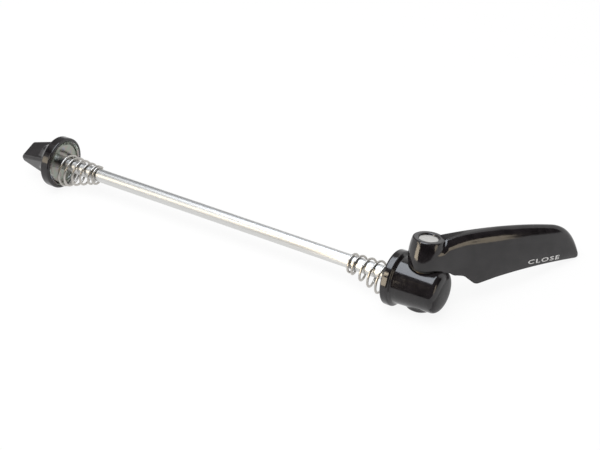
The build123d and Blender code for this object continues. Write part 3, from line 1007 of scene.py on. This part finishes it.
# The hub's side, the pocket in its top, and the web behind it
HUB_STRAIGHT = 0.45
HUB_UPPER_BOW = 0.24
HUB_TOP_DRAW = 0.85
HUB_UPPER_STEPS = 30
HUB_LOWER_BOW = 0.12
HUB_FOOT_DRAW = 0.5
HUB_LOWER_STEPS = 12
HUB_TRIM = 4
HUB_FOOT_ROUND = 0.4
HUB_TOP_ROUND = 0.45
HUB_ROUND_STEPS = 6
HEAD_POCKET = 3.45
HEAD_DEPTH = 0.75
HEAD_CHAMFER = 0.3
HEAD_ROUND = 0.12
UPRIGHT = Matrix(((0, 0, -1, 0), (0, 1, 0, 0), (1, 0, 0, 0), (0, 0, 0, 1)))
WEB_START = (3.4, 4.9)
WEB_CORNER = (6.2, 1.9)
WEB_END = (12.0, 1.25)
WEB_INSIDE = (3.0, -1.0)
WEB_STEPS = 12
WEB_RISE = 0.7
WEB_TOP = 15.2


def blade_lines(sizes):
    """Front and back lines in plan, crest and foot lines from the side."""
    reach, front, sweep = sizes.reach / MM, sizes.front / MM, sizes.sweep / MM
    root, middle, tip = sizes.root / MM, sizes.middle / MM, sizes.tip / MM
    crest, top, bottom = sizes.crest / MM, sizes.hub_top / MM, sizes.hub_bottom / MM
    near = arc_through(
        (BLADE_START, -front),
        (reach / 2, HALF_SWEEP * sweep - front),
        (reach, sweep - front),
        LINE_STEPS,
    )
    far = arc_through(
        (BLADE_START, root - front),
        (reach / 2, HALF_SWEEP * sweep + middle - front),
        (reach, sweep + tip - front),
        LINE_STEPS,
    )
    high = arc_through(
        (BLADE_START, top - CREST_START),
        (CREST_AT * reach, crest),
        (SHOULDER_AT * reach, crest - SHOULDER_DROP),
        LINE_STEPS,
    )
    high += arc_from(high, (reach, TIP_TOP), TIP_STEPS)
    run = arc_through(RUN_START, RUN_MIDDLE, (reach, TIP_FOOT), RUN_STEPS)
    heel = [(place, bottom - drop, rounding) for place, drop, rounding in HEEL]
    heel += [HEEL_SLOPE, HEEL_TOE, (*run[RUN_JOIN], 0.0)]
    low = []
    for x, y in rounded(heel) + run[RUN_JOIN + 1:]:
        over = max(0.0, x - reach + TIP_ROUND)
        low.append((x, y + TIP_ROUND - sqrt(max(TIP_ROUND ** 2 - over ** 2, 0.0))))
    return near, far, high, low


def hub_side(sizes):
    """The hub's side as (height, radius) points, drawn in at the foot and more at the top."""
    bottom, top, full = sizes.hub_bottom / MM, sizes.hub_top / MM, sizes.hub_middle / MM
    straight = bottom + HUB_STRAIGHT * (top - bottom)
    upper = arc_through(
        (straight, full),
        ((straight + top) / 2, full - HUB_UPPER_BOW),
        (top, full - HUB_TOP_DRAW),
        HUB_UPPER_STEPS,
    )
    lower = arc_through(
        (bottom, full - HUB_FOOT_DRAW),
        ((bottom + straight) / 2, full - HUB_LOWER_BOW),
        (straight, full),
        HUB_LOWER_STEPS,
    )
    return lower[:-1] + upper


def roll_height(along, tall):
    """How tall the rolled upper edge of the blade's front is."""
    return min(eased(along, *ROLL_SPAN, *ROLL_TALL), ROLL_TALL_SHARE * tall)


def blade_ring(sizes, lines, along):
    """One section across the blade: a box with its own rounding at each corner."""
    near, far, high, low = (height_at(line, along) for line in lines)
    high -= eased(along, *RIM_SPAN, RIM_DROP, 0.0)
    lip = low - min(eased(along, *LIP_IN, 0.0, LIP_DROP), eased(along, *LIP_OUT, LIP_DROP, 0.0))
    crown = eased(along, *CROWN_SPAN, 0.0, sizes.crown / MM)
    tall, thick = max(high - low, LEAST_HEIGHT), far - near
    lower = min(LOWER_ROUND, ROUND_SHARE * tall)
    back = min(BACK_ROUND, ROUND_SHARE * tall, ROUND_SHARE * thick)
    roll_deep = min(eased(along, *ROLL_SPAN, *ROLL_DEEP), ROLL_DEEP_SHARE * thick)
    roll_tall = roll_height(along, tall)
    corners = [
        (near + lower, lip + lower, lower, lower, -pi / 2, -pi),
        (near + roll_deep, high - roll_tall, roll_deep, roll_tall, pi, pi / 2),
        (far - back, high - back, back, back, pi / 2, 0.0),
        (far - back, low + back, back, back, 0.0, -pi / 2),
    ]
    ring = []
    for y, z, deep, rise, start, end in corners:
        for step in range(CORNER_STEPS + 1):
            angle = start + (end - start) * step / CORNER_STEPS
            ring.append((along, y + deep * cos(angle), z + rise * sin(angle)))
    turned = CORNER_STEPS + 1
    foot, head = ring[turned - 1][2], ring[turned][2]
    face = []
    for step in range(1, FACE_STEPS):
        share = step / FACE_STEPS
        bulge = crown * (1 - (2 * share - 1) ** 2)
        place = near - bulge * min(1.0, tall / CROWN_HEIGHT)
        face.append((along, place, foot + (head - foot) * share))
    ring = ring[:turned] + face + ring[turned:]
    flow = eased(along, FLOW_START, FLOW_END, 1.0, 0.0)
    if flow == 0.0:
        return ring
    side = hub_side(sizes)
    moved = []
    for x, y, z in ring:
        ahead = (height_at(side, z) + near) * flow
        share = min(max((far - y) / thick, 0.0), 1.0)
        moved.append((x, y - ahead * share, z))
    return moved


def lever_skin(sizes):
    """Barrel hub with a pocket for the shaft's head, long blade, and a web behind the hub."""
    bottom, top = sizes.hub_bottom / MM, sizes.hub_top / MM
    lines = blade_lines(sizes)
    crest, foot = lines[2:]
    end = max(x for x, y in foot if height_at(crest, x) - height_at(foot, x) > TIP_LEAST)
    rings = []
    for step in range(BLADE_RINGS + 1):
        share = step / BLADE_RINGS
        rings.append(blade_ring(sizes, lines, end * (1 - (1 - share) ** RING_CROWDING)))
    blade = loft(rings)
    side = hub_side(sizes)
    barrel = rounded(
        [
            (bottom, 0.0, 0.0),
            (bottom, side[0][1], HUB_FOOT_ROUND),
            (*side[HUB_TRIM - 1], 0.0),
        ],
        HUB_ROUND_STEPS,
    )
    barrel += side[HUB_TRIM:-HUB_TRIM]
    barrel += rounded(
        [
            (*side[-HUB_TRIM], 0.0),
            (top, side[-1][1], HUB_TOP_ROUND),
            (top, HEAD_POCKET + HEAD_CHAMFER, HEAD_ROUND),
            (top - HEAD_CHAMFER, HEAD_POCKET, 0.0),
            (top - HEAD_DEPTH, HEAD_POCKET, 0.0),
            (top - HEAD_DEPTH, 0.0, 0.0),
        ],
        HUB_ROUND_STEPS,
    )
    hub = placed(lathe(barrel, ROUND_STEPS), UPRIGHT)
    web = prism(web_outline(), bottom + WEB_RISE, WEB_TOP)
    return one_skin("lever", [blade, hub, web])


def web_outline():
    """Plan outline of the web that rounds the corner between the hub and the blade's back."""
    line = []
    for step in range(WEB_STEPS + 1):
        share = step / WEB_STEPS
        weights = ((1 - share) ** 2, 2 * share * (1 - share), share ** 2)
        bent = zip(WEB_START, WEB_CORNER, WEB_END)
        line.append(tuple(sum(part * weight for part, weight in zip(parts, weights)) for parts in bent))
    line.append((WEB_END[0], WEB_INSIDE[1]))
    line.append(WEB_INSIDE)
    line.reverse()
    return line


# Word on the lever


WORD_START = (37.55, 7.05)
WORD_END = (50.9, 7.15)
WORD_SPACING = 1.2
WORD_BOLDNESS = 0.02
WORD_LIFT = 0.05
WORD_ROUNDNESS = 6


def word_mesh(sizes):
    """Plain capitals laid on the blade's front face."""
    text = bpy.data.curves.new("word", "FONT")
    text.body = "CLOSE"
    text.resolution_u = WORD_ROUNDNESS
    text.space_character = WORD_SPACING
    text.offset = WORD_BOLDNESS
    mesh = applied(linked("word", text))
    low = min(vertex.co.x for vertex in mesh.vertices)
    high = max(vertex.co.x for vertex in mesh.vertices)
    rise = max(vertex.co.y for vertex in mesh.vertices)
    lines = blade_lines(sizes)
    for vertex in mesh.vertices:
        share = (vertex.co.x - low) / (high - low)
        along = WORD_START[0] + (WORD_END[0] - WORD_START[0]) * share
        height = WORD_START[1] + (WORD_END[1] - WORD_START[1]) * share
        height += vertex.co.y / rise * sizes.letter / MM
        vertex.co = (along, face_at(sizes, lines, along, height) - WORD_LIFT, height)
    return mesh


def face_at(sizes, lines, along, height):
    """How far forward the blade's bulging front face is at a height."""
    near, far, crest, foot = (height_at(line, along) for line in lines)
    tall = crest - foot
    share = (height - foot - LOWER_ROUND) / (tall - LOWER_ROUND - roll_height(along, tall))
    bulge = sizes.crown / MM * (1 - (2 * min(max(share, 0.0), 1.0) - 1) ** 2)
    return near - bulge * min(1.0, tall / CROWN_HEIGHT)


# Nut


BELL_END = 9.2
BELL_MIDDLE_RUN = 1.4
BELL_MIDDLE_RISE = 1.9
BELL_END_DRAW = 0.4
BELL_STEPS = 30
BELL_TRIM = 4
BACK_RIM_ROUND = 0.4
NUT_RINGS = 60
NUT_SUNK = 0.4
NUT_END_ROUND = 0.6
NUT_EDGE_ROUND = 1.1
NUT_EDGE_SHARE = 0.45
NUT_EDGE_STEPS = 8


def nut_skin(sizes, grip):
    """Flange and bell, with the finger blade drawn out of them."""
    flange, width, reach = sizes.flange / MM, sizes.flange_width / MM, sizes.reach / MM
    neck = sizes.neck / MM
    bell = arc_through(
        (width, flange),
        (width + BELL_MIDDLE_RUN, neck + BELL_MIDDLE_RISE),
        (BELL_END, neck - BELL_END_DRAW),
        BELL_STEPS,
    )
    rim = [(width, flange, BACK_RIM_ROUND), (*bell[BELL_TRIM - 1], 0.0)]
    turned = rounded(pocket_corners(grip, flange) + rim) + bell[BELL_TRIM:] + [(BELL_END, 0.0)]
    rings = []
    for step in range(NUT_RINGS + 1):
        along = width - NUT_SUNK + (reach - width + NUT_SUNK) * step / NUT_RINGS
        share = (along - width) / (reach - width)
        wide = (sizes.root_width + (sizes.tip_width - sizes.root_width) * share) / MM
        thick = (sizes.root + (sizes.tip - sizes.root) * share) / MM
        edge = max(0.0, along - reach + NUT_END_ROUND)
        inset = NUT_END_ROUND - sqrt(max(NUT_END_ROUND ** 2 - edge ** 2, 0.0))
        rings.append(nut_ring(along, wide - 2 * inset, thick - 2 * inset))
    return one_skin("nut", [lathe(turned, ROUND_STEPS), loft(rings)])


def nut_ring(along, wide, thick):
    """One section across the nut's blade."""
    rounding = min(NUT_EDGE_ROUND, NUT_EDGE_SHARE * thick)
    ring = []
    corners = (
        (thick / 2 - rounding, wide / 2 - rounding, 0.0),
        (rounding - thick / 2, wide / 2 - rounding, pi / 2),
        (rounding - thick / 2, rounding - wide / 2, pi),
        (thick / 2 - rounding, rounding - wide / 2, 3 * pi / 2),
    )
    for y, z, start in corners:
        for step in range(NUT_EDGE_STEPS + 1):
            angle = start + pi / 2 * step / NUT_EDGE_STEPS
            ring.append((along, y + rounding * cos(angle), z + rounding * sin(angle)))
    return ring


# Springs: where a coil starts is in degrees


LEVER_COIL_START = 302
NUT_COIL_START = 32
STAND_OFF = 0.2
CLOSED_PITCH = 0.85
HANG_GAP = 0.06
ROD_RADIUS = 2.5
WIRE_POINTS = 36
WIRE_ROUNDNESS = 4


def wind_spring(name, sizes, face, toward, first_angle, body, node):
    """A cone of wire that hangs on the rod, both ends closed."""
    wire, turns = sizes.wire / MM, sizes.turns
    wide, narrow = sizes.wide / MM, sizes.narrow / MM
    open_rise = sizes.span / MM - wire - 2 * CLOSED_PITCH
    curve = bpy.data.curves.new(name, "CURVE")
    curve.dimensions = "3D"
    curve.bevel_depth = sizes.wire / 2
    curve.bevel_resolution = WIRE_ROUNDNESS
    curve.use_fill_caps = True
    line = curve.splines.new("POLY")
    line.points.add(turns * WIRE_POINTS)
    for step, point in enumerate(line.points):
        turn = step / WIRE_POINTS
        share = min(max((turn - 1) / (turns - 2), 0), 1)
        closed = min(turn, 1) + max(turn - turns + 1, 0)
        along = STAND_OFF + wire / 2 + share * open_rise + closed * CLOSED_PITCH
        radius = wide + (narrow - wide) * share
        sag = radius - wire / 2 - ROD_RADIUS - HANG_GAP
        angle = radians(first_angle) - toward * 2 * pi * turn
        place = Vector((face + toward * along, radius * cos(angle), radius * sin(angle) - sag))
        point.co = (*(place * MM), 1.0)
    line.use_smooth = True
    obj = linked(name, curve)
    curve.materials.append(finish("spring_steel"))
    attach(obj, body)
    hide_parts(node)


# Grip faces


BOSS_RADIUS = 3.6
BOSS_LENGTH = 7.2
BORE_PLAY = 0.03
GRIP_THICKNESS = 1.8
GRIP_CHAMFER = 0.12
GRIP_SIDE = 0.5
BAND_SIDE = 0.35
SPRING_RECESS = 0.9
RECESS_ROUND = 0.35
RECESS_MIDDLE = 0.1
LOCK_POCKET = 3.05
LOCK_LENGTH = 1.6
STEPS_A_TOOTH = 12
VALLEY_REACH = 0.34
VALLEY_STEEPNESS = 1.6
TOOTH_INSIDE = 0.01
TOOTH_BEHIND = 0.2


def grip_profile(sizes, with_boss):
    """Closed section of a serrated face, its steps round and its tooth ripple."""
    radius, band, depth = sizes.radius / MM, sizes.band / MM, sizes.depth / MM
    inner, bore, count = radius - band, ROD_RADIUS + BORE_PLAY, sizes.teeth
    section = [
        (SPRING_RECESS, bore),
        (SPRING_RECESS, inner - RECESS_ROUND),
        (SPRING_RECESS - RECESS_MIDDLE, inner - RECESS_MIDDLE),
        (SPRING_RECESS - RECESS_ROUND, inner),
        (BAND_SIDE, inner),
        (0.0, inner),
        (0.0, radius - GRIP_CHAMFER),
        (GRIP_CHAMFER, radius),
        (GRIP_SIDE, radius),
        (GRIP_THICKNESS, radius),
    ]
    if with_boss:
        section += [(GRIP_THICKNESS, BOSS_RADIUS), (BOSS_LENGTH, BOSS_RADIUS), (BOSS_LENGTH, LOCK_POCKET)]
        section += [(BOSS_LENGTH - LOCK_LENGTH, LOCK_POCKET), (BOSS_LENGTH - LOCK_LENGTH, bore)]
    else:
        section += [(GRIP_THICKNESS, bore)]

    def ripple(along, across, angle):
        if across < inner - TOOTH_INSIDE or along > TOOTH_BEHIND:
            return 0.0
        phase = (angle * count / (2 * pi)) % 1.0
        valley = max(0.0, 1.0 - abs(phase - 0.5) / VALLEY_REACH)
        return depth * min(1.0, VALLEY_STEEPNESS * valley)

    return section, count * STEPS_A_TOOTH, ripple


def cut_grip(name, profile, face, away, body, node):
    """A serrated steel face with crisp corners, its back away from the wheel."""
    axes = own_axes((face, 0, 0), (away, 0, 0), (0, 0, 1))
    mesh = mesh_of(name, tube_lathe(*profile))
    obj = make_piece(name, mesh, axes, body, "grip_steel", node)
    obj.data.set_sharp_from_angle(angle=CREASE)


# Panel and add-on


class SKEWER_PT_panel(bpy.types.Panel):
    """Sizes, colours and makers of the skewer"""

    bl_idname = "SKEWER_PT_panel"
    bl_label = "Quick release skewer"
    bl_space_type = "VIEW_3D"
    bl_region_type = "UI"
    bl_category = "Skewer"

    def draw(self, context):
        column = self.layout.column()
        for maker in MAKERS:
            column.operator(maker.bl_idname)
        for name, group in GROUPS.items():
            box = self.layout.box()
            values = getattr(context.scene, name)
            for field in group.__annotations__:
                box.prop(values, field)


GROUPS = {
    "skewer_lever": SkewerLeverSizes,
    "skewer_housing": SkewerHousingSizes,
    "skewer_nut": SkewerNutSizes,
    "skewer_springs": SkewerSpringSizes,
    "skewer_grip": SkewerGripSizes,
    "skewer_colours": SkewerColours,
}
MAKERS = (
    SKEWER_OT_stage,
    SKEWER_OT_rod,
    SKEWER_OT_housing,
    SKEWER_OT_lever,
    SKEWER_OT_word,
    SKEWER_OT_nut,
    SKEWER_OT_springs,
    SKEWER_OT_grips,
    SKEWER_OT_cam,
)


def register():
    for name, group in GROUPS.items():
        bpy.utils.register_class(group)
        setattr(bpy.types.Scene, name, PointerProperty(type=group))
    for maker in MAKERS:
        bpy.utils.register_class(maker)
    bpy.utils.register_class(SKEWER_PT_panel)


def unregister():
    bpy.utils.unregister_class(SKEWER_PT_panel)
    for maker in reversed(MAKERS):
        bpy.utils.unregister_class(maker)
    for name, group in GROUPS.items():
        delattr(bpy.types.Scene, name)
        bpy.utils.unregister_class(group)


def main():
    register()
    bpy.ops.skewer.stage()
    bpy.ops.skewer.rod()
    bpy.ops.skewer.housing()
    bpy.ops.skewer.lever()
    bpy.ops.skewer.word()
    bpy.ops.skewer.nut()
    bpy.ops.skewer.springs()
    bpy.ops.skewer.grips()
    bpy.ops.skewer.cam()


if __name__ == "__main__":
    main()
